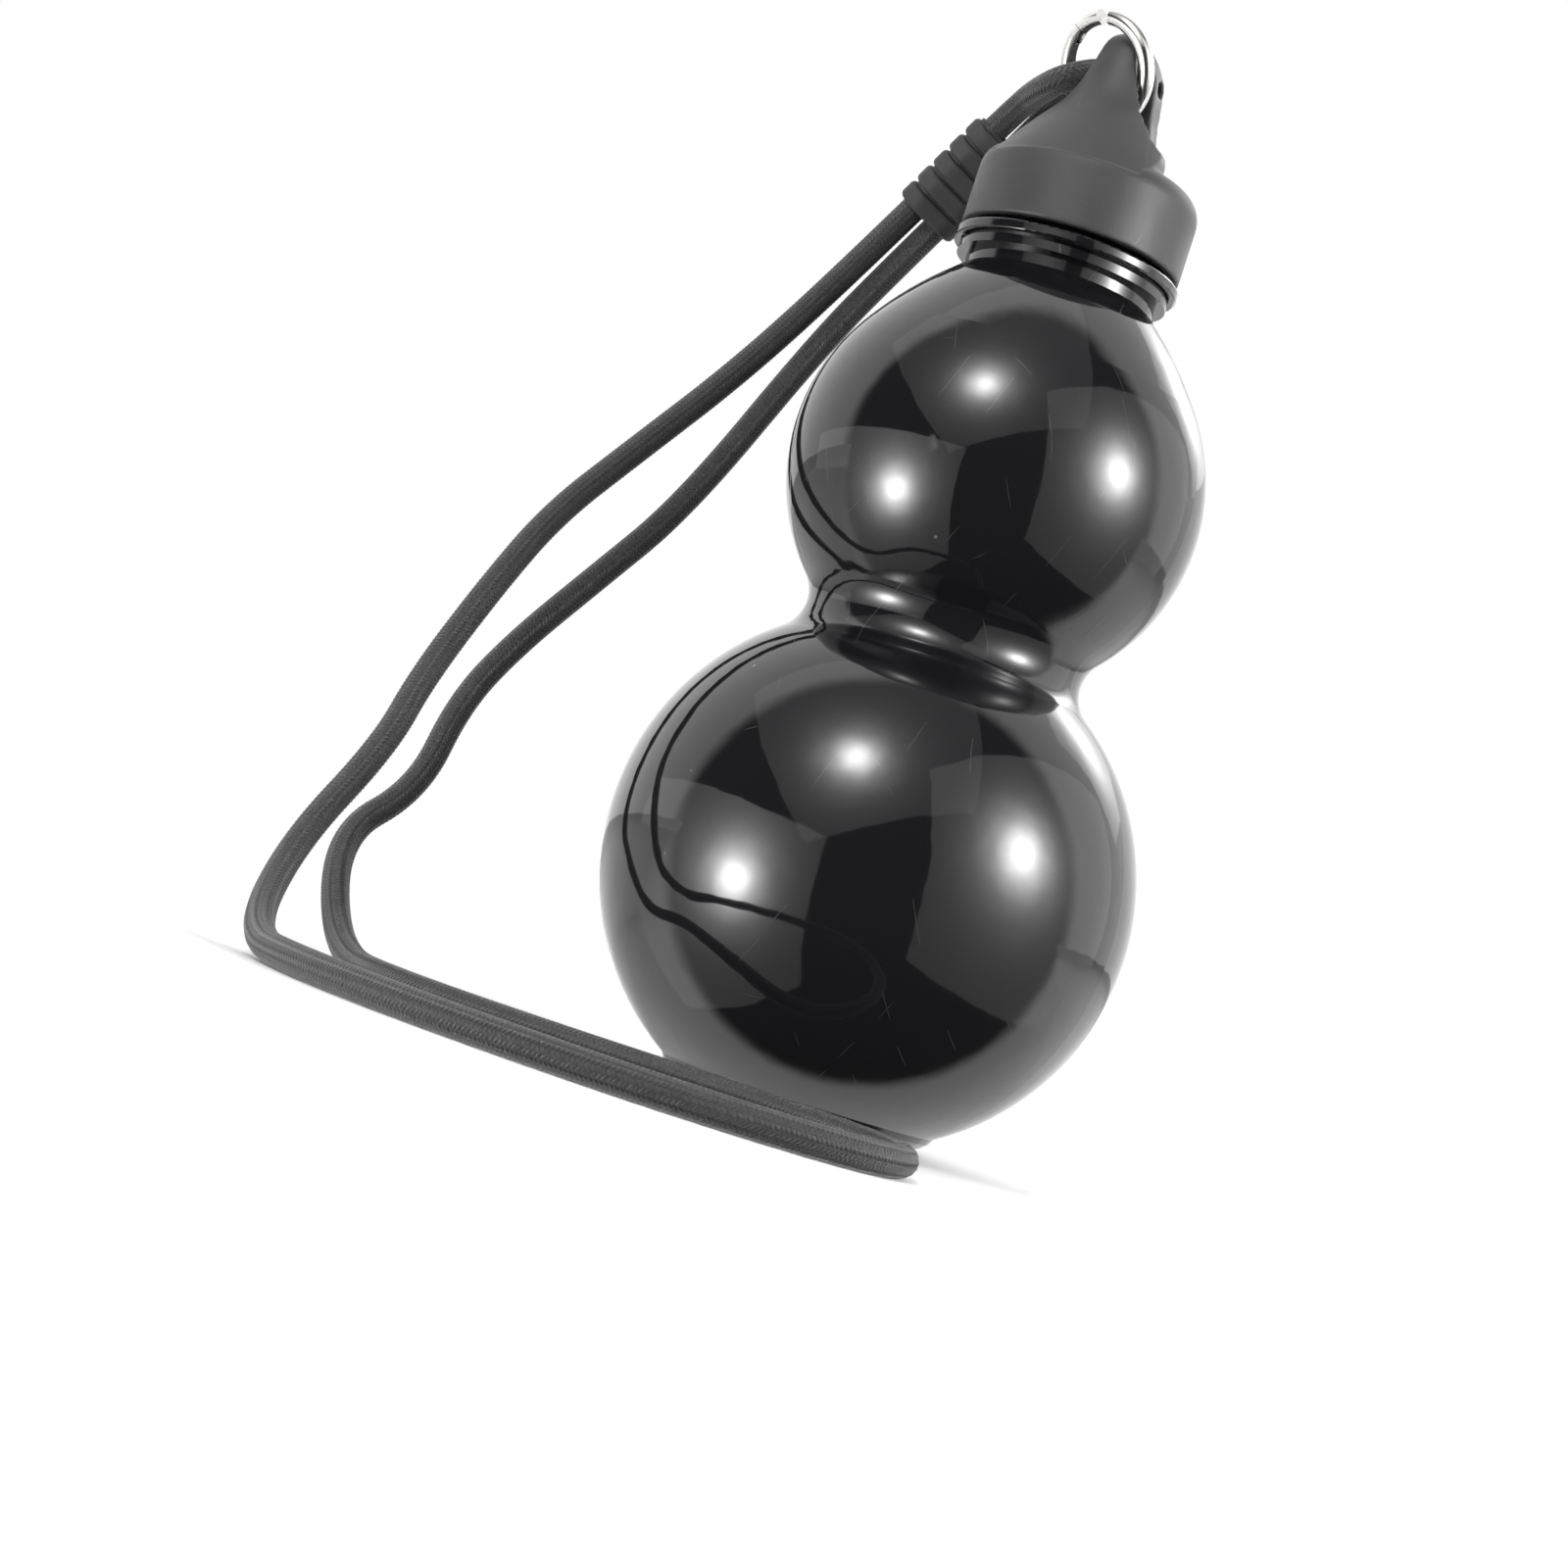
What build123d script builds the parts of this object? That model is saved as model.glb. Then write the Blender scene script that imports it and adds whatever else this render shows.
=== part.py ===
"""Gourd-shaped water bottle with a loop cap, a snap ring and a braided carrying cord."""
import os
from math import acos, asin, atan2, cos, degrees, pi, radians, sin, sqrt, tan

from build123d import *

# Lobed bottle wall, all lengths in millimetres
lower_radius = 55.0
foot_cut = 3.7
upper_radius = 43.4
lobe_merge = 12.7
waist_radius = 8.3
shoulder_radius = 83.0
shoulder_angle = 32.9
wall = 1.5

# Foot of the bottle
foot_radius = 12.1
foot_flat_r = 20.0
foot_rim_r = 16.5
foot_angle = 44.0
heel_r = 29.2
dome_rise = 5.0
floor_edge_r = 24.0

# Neck, transfer bead and plain finish (the thread is drawn later)
thread_room = 1.9
finish_wall = 1.6
neck_step = 0.8
neck_length = 2.78
ring_inset = 0.9
ring_height = 2.3
bead_proud = 0.6
bead_height = 2.3
bead_groove = 0.5
bead_round = 0.5
finish_length = 14.5
lip_round = 0.6

# Cap shell
skirt_radius = 23.5
skirt_wall = 2.0
skirt_clearance = 1.3
skirt_corner = 5.5
skirt_round = 0.4
gasket_thick = 1.5
roof_thick = 3.5
gasket_lap = 1.5
gasket_gap = 0.1

# Carrying loop moulded on the cap
crease_drop = 3.8
loop_height = 33.8
tongue_back = 4.5
tongue_step = 6.0
lug_hole_r = 1.6

# Snap ring, its wire and the place where the cord hangs
hang_angle = 190.0
wire_r = 1.65
pin_angle = 141.0
nose_angle = 96.0
nose_lap = 4.0
joint_gap = 0.12
knuckle_r = 2.8
eye_r = 1.5
pin_r = 0.6
pin_length = 3.3
slot_width = 1.74
leaf_thick = 1.1
spring_outer_r = 1.1
spring_inner_r = 0.65
spring_height = 0.55

# Cord and its ribbed stopper
cord_r = 3.0
route_unit = 100.0
stopper_wall = 1.5
stopper_length = 24.0
rib_count = 5
rib_depth = 1.0
leg_gap = 0.3
floor_gap = 0.05
stopper_fit = 0.05

# Shares: radius over skirt_radius, height above the crease over loop_height
trumpet_shares = [
    (0.97, 0.0), (0.829, 0.151), (0.681, 0.299), (0.591, 0.382), (0.519, 0.447), (0.455, 0.530),
    (0.421, 0.595), (0.396, 0.683), (0.379, 0.772), (0.357, 0.846), (0.311, 0.914), (0.230, 0.964),
    (0.128, 0.994), (0.0, 1.0),
]
# Shares: half width over skirt_radius, height over loop_height
tongue_shares = [
    (0.723, 0.0), (0.723, 0.092), (0.719, 0.166), (0.689, 0.234), (0.604, 0.328), (0.528, 0.388),
    (0.443, 0.453), (0.353, 0.530), (0.281, 0.604), (0.226, 0.689), (0.183, 0.784), (0.157, 0.876),
    (0.128, 0.938), (0.082, 0.985), (0.0, 1.003),
]
post_limit_shares = [
    (0.40, 0.0), (0.374, 0.21), (0.338, 0.328), (0.290, 0.447), (0.257, 0.55), (0.240, 0.66),
    (0.216, 0.78), (0.197, 0.85), (0.163, 0.91), (0.110, 0.962), (0.040, 1.0),
]
# Shares: distance to the rear over skirt_radius, height over loop_height
post_side_shares = [
    (-0.340, 0.121), (0.477, 0.121), (0.460, 0.299), (0.434, 0.595), (0.418, 0.728), (0.412, 0.825),
    (0.179, 0.979), (0.0, 1.0), (0.0, 0.299), (-0.340, 0.299),
]
opening_shares = [(-0.362, 0.240), (0.277, 0.240), (0.162, 0.787), (-0.043, 0.870), (-0.238, 0.808)]
opening_round_shares = [0.106, 0.106, 0.085, 0.128, 0.085]
lug_hole_shares = [(0.3170, 0.7800)]

# Shares of the ring's mean radius over skirt_radius, and of its centre: across and to the rear over skirt_radius, height over loop_height
ring_radius_share = 0.45106
ring_shares = (-0.1415, -0.14566, 0.74808)

# Direction of the ring's axis, of the stopper and of the line between its two legs
ring_axis = (-0.259, -0.823, -0.506)
stopper_axis = (0.5919, -0.1244, 0.7964)
leg_side = (0.6798, 0.6079, -0.4103)

# Cord route from the seam inside the stopper, round the ring and down the front leg,
# in shares of route_unit from the place where the cord hangs
first_leg_shares = [
    (-0.2244, 0.0900, -0.1834),
    (-0.1238, 0.0689, -0.0480),
    (-0.0302, -0.0360, -0.0414),
    (0.0282, -0.0638, -0.0213),
    (0.0572, 0.0283, 0.0353),
    (-0.0036, 0.0646, 0.0193),
    (-0.0810, 0.1072, -0.0739),
    (-0.3592, 0.1656, -0.4482),
]
# Cord below the stopper and on the floor: across and to the rear in shares of route_unit,
# height as a share of the ring's
loop_shares = [
    (-0.5618, 0.1077, 0.7078),
    (-0.7025, 0.0145, 0.5164),
    (-0.8148, -0.0710, 0.4182),
    (-0.9095, -0.1317, 0.3392),
    (-0.9660, -0.1801, 0.2691),
    (-0.9534, -0.2460, 0.1777),
    (-1.0301, -0.3700, 0.1144),
    (-0.8200, -0.5368, 0.0000),
    (-0.5125, -0.7465, 0.0000),
    (-0.1174, -0.6947, 0.0000),
    (0.2282, -0.4894, 0.0000),
    (0.5387, -0.5874, 0.0000),
    (0.5930, -0.8931, 0.0000),
    (0.3537, -1.1371, 0.0000),
    (-0.0511, -1.2155, 0.0000),
    (-0.4607, -1.1417, 0.0000),
    (-0.7675, -0.9096, 0.0000),
    (-0.8871, -0.7005, 0.0968),
    (-0.8386, -0.5786, 0.2029),
    (-0.8697, -0.4828, 0.2735),
    (-0.8592, -0.3676, 0.3730),
    (-0.8401, -0.2594, 0.4601),
    (-0.7803, -0.1377, 0.5414),
    (-0.6618, 0.0114, 0.6636),
]
# Cord up the back leg to the seam again, in shares of route_unit from the same place
last_leg_shares = [
    (-0.4020, 0.1274, -0.4223),
    (-0.2250, 0.0902, -0.1842),
]
stopper_shares = (-0.2208, 0.1129, -0.2202)


def polar(centre, radius, angle):
    """Point on a circle at an angle in degrees."""
    return (centre[0] + radius * cos(radians(angle)), centre[1] + radius * sin(radians(angle)))


def arc(centre, radius, first, last):
    """Arc of a circle between two angles in degrees."""
    middle = (first + last) / 2
    return ThreePointArc(polar(centre, radius, first), polar(centre, radius, middle), polar(centre, radius, last))


def spindle(centre, radius, first, last):
    """Smooth curve on an arc whose centre lies beyond the axis."""
    steps = [first + (last - first) * share / 4 for share in range(5)]
    ends = [(-sin(radians(angle)), cos(radians(angle))) for angle in (first, last)]
    return Spline(*[polar(centre, radius, angle) for angle in steps], tangents=ends)


# Lobe centres and the waist blend that touches both lobes
lower_centre_z = lower_radius - foot_cut
lobe_gap = lower_radius + upper_radius - lobe_merge
upper_centre_z = lower_centre_z + lobe_gap
lower_reach = lower_radius + waist_radius
upper_reach = upper_radius + waist_radius
waist_z = lower_centre_z + (lobe_gap ** 2 + lower_reach ** 2 - upper_reach ** 2) / (2 * lobe_gap)
waist_x = sqrt(lower_reach ** 2 - (waist_z - lower_centre_z) ** 2)
waist = (waist_x, waist_z)
lower = (0, lower_centre_z)
upper = (0, upper_centre_z)
lower_top = degrees(atan2(waist_z - lower_centre_z, waist_x))
upper_foot = degrees(atan2(waist_z - upper_centre_z, waist_x))
shoulder = polar(upper, upper_radius - shoulder_radius, shoulder_angle)

# Neck radii from the cap inwards, and heights from the shoulder upwards
roof_r = skirt_radius - skirt_wall
finish_r = roof_r - thread_room
bore_r = finish_r - finish_wall
neck_r = finish_r + neck_step
ring_r = skirt_radius - ring_inset
bead_r = skirt_radius + bead_proud
gasket_inner_r = bore_r - gasket_lap
neck_foot_z = shoulder[1] + sqrt(shoulder_radius ** 2 - (neck_r - shoulder[0]) ** 2)
ring_low_z = neck_foot_z + neck_length
bead_low_z = ring_low_z + ring_height
bead_top_z = bead_low_z + bead_height
lip_z = bead_top_z + finish_length
skirt_bottom_z = bead_top_z + skirt_clearance
cap_roof_z = lip_z + gasket_thick
cap_top_z = cap_roof_z + roof_thick
crease_z = cap_top_z - crease_drop


def lobes(inset, first, neck):
    """Outline of both lobes, inset from the outer face, from an angle on the lower lobe to a neck radius."""
    top = degrees(acos((neck - shoulder[0]) / (shoulder_radius - inset)))
    arc(lower, lower_radius - inset, first, lower_top)
    arc(waist, waist_radius + inset, 180 + lower_top, 180 + upper_foot)
    arc(upper, upper_radius - inset, upper_foot, shoulder_angle)
    spindle(shoulder, shoulder_radius - inset, shoulder_angle, top)
    return polar(shoulder, shoulder_radius - inset, top)


# Bottle: one blown shell with a pushed-up base, a transfer bead and a plain finish
heel = -degrees(acos(heel_r / lower_radius))
floor_edge = -degrees(acos(floor_edge_r / (lower_radius - wall)))
foot_centre = (foot_flat_r, foot_radius)
foot_end = polar(foot_centre, foot_radius, foot_angle - 90)
dome_radius = (foot_rim_r ** 2 + dome_rise ** 2) / (2 * dome_rise)
dome = (0, dome_rise - dome_radius)
dome_edge = 90 - degrees(asin(foot_rim_r / dome_radius))
with BuildPart() as bottle:
    with BuildSketch(Plane.XZ):
        with BuildLine():
            arc(dome, dome_radius, 90, dome_edge)
            Line((foot_rim_r, 0), (foot_flat_r, 0))
            arc(foot_centre, foot_radius, -90, foot_angle - 90)
            Line(foot_end, polar(lower, lower_radius, heel))
            crease = lobes(0, heel, neck_r)
            Polyline(
                crease,
                (neck_r, ring_low_z),
                (ring_r, ring_low_z),
                (ring_r, bead_low_z - bead_groove),
                (ring_r - bead_groove, bead_low_z - bead_groove),
                (ring_r - bead_groove, bead_low_z),
                (bead_r, bead_low_z),
                (bead_r, bead_top_z),
                (finish_r, bead_top_z),
                (finish_r, lip_z),
                (bore_r, lip_z),
            )
            inner_crease = lobes(wall, floor_edge, bore_r)
            Line((bore_r, lip_z), inner_crease)
            inner_rim = polar(dome, dome_radius + wall, dome_edge)
            Line(polar(lower, lower_radius - wall, floor_edge), inner_rim)
            arc(dome, dome_radius + wall, dome_edge, 90)
            Line((0, dome_rise + wall), (0, dome_rise))
        make_face()
    revolve(axis=Axis.Z)
    rims = bottle.edges().filter_by(GeomType.CIRCLE)
    fillet(rims.filter_by(lambda e: abs(e.radius - bead_r) < bead_groove and e.center().Z > bead_low_z - bead_groove), bead_round)
    fillet(rims.filter_by(lambda e: abs(e.center().Z - lip_z) < bead_groove), lip_round)

# Shapes shared by the cap: the trumpet of revolution and the flared front outline


def cap_points(table, side=1):
    """Turn a table of shares into points in the front view."""
    return [(side * across * skirt_radius, crease_z + up * loop_height) for across, up in table]


with BuildPart() as trumpet:
    with BuildSketch(Plane.XZ):
        with BuildLine():
            flank = cap_points(trumpet_shares)
            Spline(*flank)
            Polyline(flank[-1], (0, crease_z), flank[0])
        make_face()
    revolve(axis=Axis.Z)

with BuildPart() as outline:
    with BuildSketch(Plane.XZ):
        with BuildLine():
            right = cap_points(tongue_shares)
            left = cap_points(tongue_shares, -1)
            Spline(*(right + left[-2::-1]))
            Line(left[0], right[0])
        make_face()
    extrude(amount=2 * skirt_radius, both=True)

with BuildPart() as post:
    with BuildSketch(Plane.YZ):
        with BuildLine():
            Polyline(*cap_points(post_side_shares), close=True)
        make_face()
    extrude(amount=skirt_radius, both=True)
    with BuildSketch(Plane.XZ):
        with BuildLine():
            right = cap_points(post_limit_shares)
            left = cap_points(post_limit_shares, -1)
            Spline(*right)
            Line(right[-1], left[-1])
            Spline(*left)
            Line(left[0], right[0])
        make_face()
    extrude(amount=2 * skirt_radius, both=True, mode=Mode.INTERSECT)

whole = 12 * skirt_radius
with BuildPart() as loop:
    add(trumpet.part)
    Box(whole, whole, 2 * whole, align=(Align.CENTER, Align.MAX, Align.CENTER), mode=Mode.INTERSECT)
    with Locations((0, 0, cap_top_z)):
        Box(whole, tongue_back, tongue_step, align=(Align.CENTER, Align.MAX, Align.MIN), mode=Mode.SUBTRACT)
    add(outline.part, mode=Mode.INTERSECT)
    add(post.part)

with BuildPart() as slice_off:
    add(outline.part)
    with Locations((0, 0, crease_z)):
        Box(whole, whole, cap_top_z - crease_z, align=(Align.CENTER, Align.MAX, Align.MIN), mode=Mode.INTERSECT)
    add(trumpet.part, mode=Mode.SUBTRACT)

# Cap: skirt, roof and the loop moulded in one piece
with BuildPart() as cap:
    with BuildSketch(Plane.XZ):
        with BuildLine():
            Polyline(
                (0, cap_roof_z),
                (roof_r, cap_roof_z),
                (roof_r, skirt_bottom_z),
                (skirt_radius, skirt_bottom_z),
                (skirt_radius, cap_top_z - skirt_corner),
            )
            arc((skirt_radius - skirt_corner, cap_top_z - skirt_corner), skirt_corner, 0, 90)
            Polyline((skirt_radius - skirt_corner, cap_top_z), (0, cap_top_z), (0, cap_roof_z))
        make_face()
    revolve(axis=Axis.Z)
    fillet(cap.edges().filter_by(GeomType.CIRCLE).group_by(Axis.Z)[0], skirt_round)
    add(slice_off.part, mode=Mode.SUBTRACT)
    add(loop.part)
    with Locations((0, 0, skirt_bottom_z)):
        Cylinder(
            roof_r,
            cap_roof_z - skirt_bottom_z,
            align=(Align.CENTER, Align.CENTER, Align.MIN),
            mode=Mode.SUBTRACT,
        )
    with BuildSketch(Plane.YZ) as opening:
        with BuildLine():
            corners = cap_points(opening_shares)
            Polyline(*corners, close=True)
        make_face()
        for corner, share in zip(corners, opening_round_shares):
            fillet(opening.vertices().sort_by_distance(Vector(*corner))[0], share * skirt_radius)
    extrude(amount=2 * skirt_radius, both=True, mode=Mode.SUBTRACT)
    with BuildSketch(Plane.YZ):
        with Locations(*cap_points(lug_hole_shares)):
            Circle(lug_hole_r)
    extrude(amount=skirt_radius, both=True, mode=Mode.SUBTRACT)

# Gasket pressed between the cap's roof and the lip
with BuildPart() as gasket:
    with BuildSketch(Plane.XZ):
        with BuildLine():
            Polyline(
                (gasket_inner_r, lip_z),
                (roof_r - gasket_gap, lip_z),
                (roof_r - gasket_gap, cap_roof_z),
                (gasket_inner_r, cap_roof_z),
                close=True,
            )
        make_face()
    revolve(axis=Axis.Z)

# Snap ring, built flat round the origin and then laid in its leaning plane
ring_n = Vector(*ring_axis).normalized()
ring_a = Vector(0, 0, 1).cross(ring_n).normalized()
ring_across, ring_back, ring_up = ring_shares
ring_z = crease_z + ring_up * loop_height
ring_mean_r = ring_radius_share * skirt_radius
ring_centre = Vector(ring_across * skirt_radius, ring_back * skirt_radius, ring_z)
ring_plane = Plane(origin=ring_centre, x_dir=ring_a, z_dir=ring_n)
pin_spot = polar((0, 0), ring_mean_r, pin_angle)
hang = ring_plane.from_local_coords(Vector(*polar((0, 0), ring_mean_r, hang_angle), 0))


def wire(first, last, radius=wire_r):
    """Arc of round wire between two angles in degrees."""
    with BuildPart() as piece:
        with BuildSketch(Plane.XZ):
            with Locations((ring_mean_r, 0)):
                Circle(radius)
        revolve(axis=Axis.Z, revolution_arc=last - first)
    return piece.part.rotate(Axis.Z, first)


reach = degrees(2 * knuckle_r / ring_mean_r)
gap_angle = degrees(joint_gap / ring_mean_r)
tall = 4 * wire_r
stout = 2 * wire_r
leaf_low = -slot_width / 2 + joint_gap / 6
with BuildPart() as ring:
    add(wire(pin_angle - reach, 360 + nose_angle - gap_angle))
    with BuildPart(mode=Mode.PRIVATE) as past_knuckle:
        add(wire(pin_angle - 2 * reach, pin_angle, stout))
        with Locations(pin_spot):
            Cylinder(knuckle_r, tall, mode=Mode.SUBTRACT)
    add(past_knuckle.part, mode=Mode.SUBTRACT)
    with BuildPart(mode=Mode.PRIVATE) as under_nose:
        add(wire(nose_angle - nose_lap - gap_angle, nose_angle + nose_lap, stout))
        Cylinder(ring_mean_r + joint_gap / 2, tall, mode=Mode.INTERSECT)
    add(under_nose.part, mode=Mode.SUBTRACT)
    with Locations(Location((pin_spot[0], pin_spot[1], 0), (0, 0, pin_angle))):
        Cylinder(eye_r + 2 * joint_gap, slot_width, mode=Mode.SUBTRACT)
        Box(tall, tall, slot_width, align=(Align.CENTER, Align.MAX, Align.CENTER), mode=Mode.SUBTRACT)
        Cylinder(pin_r, tall, mode=Mode.SUBTRACT)

with BuildPart() as gate:
    add(wire(nose_angle - nose_lap, pin_angle + reach / 4))
    with BuildPart(mode=Mode.PRIVATE) as step:
        add(wire(nose_angle - 2 * nose_lap, nose_angle, stout))
        Cylinder(ring_mean_r - joint_gap / 2, tall, mode=Mode.SUBTRACT)
    add(step.part, mode=Mode.SUBTRACT)
    with Locations(pin_spot):
        Cylinder(knuckle_r + joint_gap, tall, mode=Mode.SUBTRACT)
    with BuildPart(mode=Mode.PRIVATE) as leaf:
        with Locations(Location((pin_spot[0], pin_spot[1], leaf_low), (0, 0, pin_angle))):
            Cylinder(eye_r, leaf_thick, align=(Align.CENTER, Align.CENTER, Align.MIN))
            Box(2 * eye_r, 2 * knuckle_r, leaf_thick, align=(Align.CENTER, Align.MAX, Align.MIN))
        add(wire(pin_angle - reach, pin_angle + reach), mode=Mode.INTERSECT)
    add(leaf.part)
    with Locations(pin_spot):
        Cylinder(pin_r + joint_gap / 4, tall, mode=Mode.SUBTRACT)

with BuildPart() as pin:
    with Locations(pin_spot):
        Cylinder(pin_r, pin_length)

with BuildPart() as spring:
    with Locations((pin_spot[0], pin_spot[1], leaf_low + leaf_thick + joint_gap / 4)):
        Cylinder(spring_outer_r, spring_height, align=(Align.CENTER, Align.CENTER, Align.MIN))
        Cylinder(spring_inner_r, tall, mode=Mode.SUBTRACT)

# Cord route: straight runs joined by tangent arcs
first_leg = [hang + Vector(*spot) * route_unit for spot in first_leg_shares]
last_leg = [hang + Vector(*spot) * route_unit for spot in last_leg_shares]
loop_spots = [
    Vector(across * route_unit, back * route_unit, max(up * ring_z, cord_r + floor_gap))
    for across, back, up in loop_shares
]
route = first_leg + loop_spots + last_leg


def tangent_runs(spots):
    """Edges of the route and the radius of each bend."""
    edges = []
    radii = []
    here = spots[0]
    for before, corner, after in zip(spots, spots[1:], spots[2:]):
        into = (corner - before).normalized()
        away = (after - corner).normalized()
        turn = radians(into.get_angle(away))
        back = 0.45 * min((corner - before).length, (after - corner).length)
        radius = back / tan(turn / 2)
        start = corner - into * back
        end = corner + away * back
        middle = corner + (away - into).normalized() * (radius / cos(turn / 2) - radius)
        edges.append(Edge.make_line(here, start))
        edges.append(Edge.make_three_point_arc(start, middle, end))
        radii.append(radius)
        here = end
    edges.append(Edge.make_line(here, spots[-1]))
    return edges, radii


cord_edges, bend_radii = tangent_runs(route)
with BuildPart() as cord:
    with BuildLine() as path:
        for edge in cord_edges:
            add(edge)
    with BuildSketch(Plane(origin=route[0], z_dir=route[1] - route[0])):
        Circle(cord_r)
    sweep(path=path.wires()[0])

# Ribbed stopper with two touching bores for the legs of the cord
stopper_centre = hang + Vector(*stopper_shares) * route_unit
stopper_plane = Plane(origin=stopper_centre, x_dir=leg_side, z_dir=stopper_axis)
leg_offset = cord_r + leg_gap / 2
core_r = cord_r + stopper_wall
groove_pitch = stopper_length / rib_count


def oval(radius):
    """Stadium round both legs."""
    SlotCenterToCenter(2 * leg_offset, 2 * radius)


with BuildPart() as stopper:
    with BuildSketch(Plane.XY.offset(-stopper_length / 2)):
        oval(core_r - rib_depth)
    extrude(amount=stopper_length)
    for number in range(rib_count):
        with BuildSketch(Plane.XY.offset(-stopper_length / 2 + number * groove_pitch)):
            oval(core_r)
        extrude(amount=groove_pitch * 0.86)
    crests = stopper.edges().filter_by(lambda e: abs(e.bounding_box().size.Z) < stopper_fit)
    fillet(crests.filter_by(lambda e: e.bounding_box().size.Y > 2 * core_r - stopper_fit), rib_depth * 0.95)
    with BuildSketch(Plane.XY.offset(-stopper_length / 2)):
        oval(cord_r + stopper_fit)
    extrude(amount=stopper_length, mode=Mode.SUBTRACT)

ring_at = ring_plane.location
stopper_at = stopper_plane.location
bottle_body = bottle.part
cap_body = cap.part
parts = {
    "bottle_body": bottle_body,
    "cap": cap_body,
    "cap_gasket": gasket.part,
    "snap_ring": ring_at * ring.part,
    "ring_gate": ring_at * gate.part,
    "gate_pin": ring_at * pin.part,
    "gate_spring": ring_at * spring.part,
    "cord_stopper": stopper_at * stopper.part,
    "lanyard_cord": cord.part,
}

os.makedirs("parts", exist_ok=True)
for name, shape in parts.items():
    shape.label = name
    export_step(shape, "parts/" + name + ".step")
    print(name, round(shape.volume, 1), len(shape.solids()))

cord_length = sum(edge.length for edge in cord_edges)
print("cord length", round(cord_length, 1), "volume over section", round(cord.part.volume / (pi * cord_r ** 2), 1))
print("route", [tuple(round(value / route_unit, 4) for value in spot) for spot in route])
print("stopper centre", tuple(round(value, 3) for value in stopper_centre))
print("bend radii", [round(radius, 1) for radius in bend_radii])
print("gate hinge", [round(value, 3) for value in tuple(ring_plane.from_local_coords(Vector(*pin_spot, 0)))])
print("gate axis", [round(value, 4) for value in tuple(ring_n)])
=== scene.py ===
from math import pi, radians

import bmesh
import bpy
from mathutils import Matrix, Quaternion, Vector


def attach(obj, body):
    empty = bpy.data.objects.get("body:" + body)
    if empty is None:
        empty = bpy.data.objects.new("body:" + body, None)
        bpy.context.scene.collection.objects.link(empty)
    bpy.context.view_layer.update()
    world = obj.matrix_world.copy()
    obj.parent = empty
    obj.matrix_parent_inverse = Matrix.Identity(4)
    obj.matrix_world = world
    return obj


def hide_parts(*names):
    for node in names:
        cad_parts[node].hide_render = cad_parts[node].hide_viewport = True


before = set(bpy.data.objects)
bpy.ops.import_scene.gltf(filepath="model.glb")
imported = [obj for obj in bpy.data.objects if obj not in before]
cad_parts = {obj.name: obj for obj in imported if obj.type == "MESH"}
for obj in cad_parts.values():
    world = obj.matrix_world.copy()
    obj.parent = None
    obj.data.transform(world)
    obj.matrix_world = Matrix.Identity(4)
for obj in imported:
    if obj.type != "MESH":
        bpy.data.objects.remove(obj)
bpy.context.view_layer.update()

bpy.context.scene.view_settings.view_transform = "Standard"

# Where the photograph was taken from, in metres
camera_place = Vector((0.25066, -0.53753, 0.0295))
camera_right = Vector((0.85428, 0.41778, 0.3093))
camera_up = Vector((-0.25012, -0.19122, 0.9491))
sensor_width = 36.0
focal_length = 66.27

# Cord route, the same points as in the CAD source, in shares of one decimetre
decimetre = 0.1
route_shares = [
    (-0.3544, 0.0960, 2.0726),
    (-0.2538, 0.0749, 2.2080),
    (-0.1602, -0.0300, 2.2146),
    (-0.1018, -0.0578, 2.2347),
    (-0.0728, 0.0343, 2.2913),
    (-0.1336, 0.0706, 2.2753),
    (-0.2110, 0.1132, 2.1821),
    (-0.4892, 0.1716, 1.8078),
    (-0.5618, 0.1077, 1.6080),
    (-0.7025, 0.0145, 1.1732),
    (-0.8148, -0.0710, 0.9501),
    (-0.9095, -0.1317, 0.7706),
    (-0.9660, -0.1801, 0.6114),
    (-0.9534, -0.2460, 0.4037),
    (-1.0301, -0.3700, 0.2599),
    (-0.8200, -0.5368, 0.0305),
    (-0.5125, -0.7465, 0.0305),
    (-0.1174, -0.6947, 0.0305),
    (0.2282, -0.4894, 0.0305),
    (0.5387, -0.5874, 0.0305),
    (0.5930, -0.8931, 0.0305),
    (0.3537, -1.1371, 0.0305),
    (-0.0511, -1.2155, 0.0305),
    (-0.4607, -1.1417, 0.0305),
    (-0.7675, -0.9096, 0.0305),
    (-0.8871, -0.7005, 0.2199),
    (-0.8386, -0.5786, 0.4610),
    (-0.8697, -0.4828, 0.6214),
    (-0.8592, -0.3676, 0.8474),
    (-0.8401, -0.2594, 1.0453),
    (-0.7803, -0.1377, 1.2300),
    (-0.6618, 0.0114, 1.5076),
    (-0.5320, 0.1334, 1.8337),
    (-0.3550, 0.0962, 2.0718),
]

# Braid: yarns each way round the core, length of cord per turn, and the yarn's size, in metres
core_radius = 0.00262
yarns_each_way = 16
braid_lead = 0.0145
braid_radius = 0.0026
braid_rise = 0.0001
yarn_width = 0.0011
yarn_thickness = 0.0005

# Screw threads of the neck and of the cap's skirt, in metres
thread_turns = 1.5
thread_pitch = 0.004
neck_ridge = {
    "Start height": 0.1905, "Root radius": 0.0195, "Depth": 0.0016, "Foot": 0.0021, "Crest": 0.0009}
skirt_ridge = {
    "Start height": 0.1885, "Root radius": 0.0216, "Depth": -0.0015, "Foot": 0.0019, "Crest": 0.0008}

# Small rounds of the cap's moulding: grid in metres, and how often it is smoothed
moulding_grid = 0.00038
moulding_passes = 6

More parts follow.
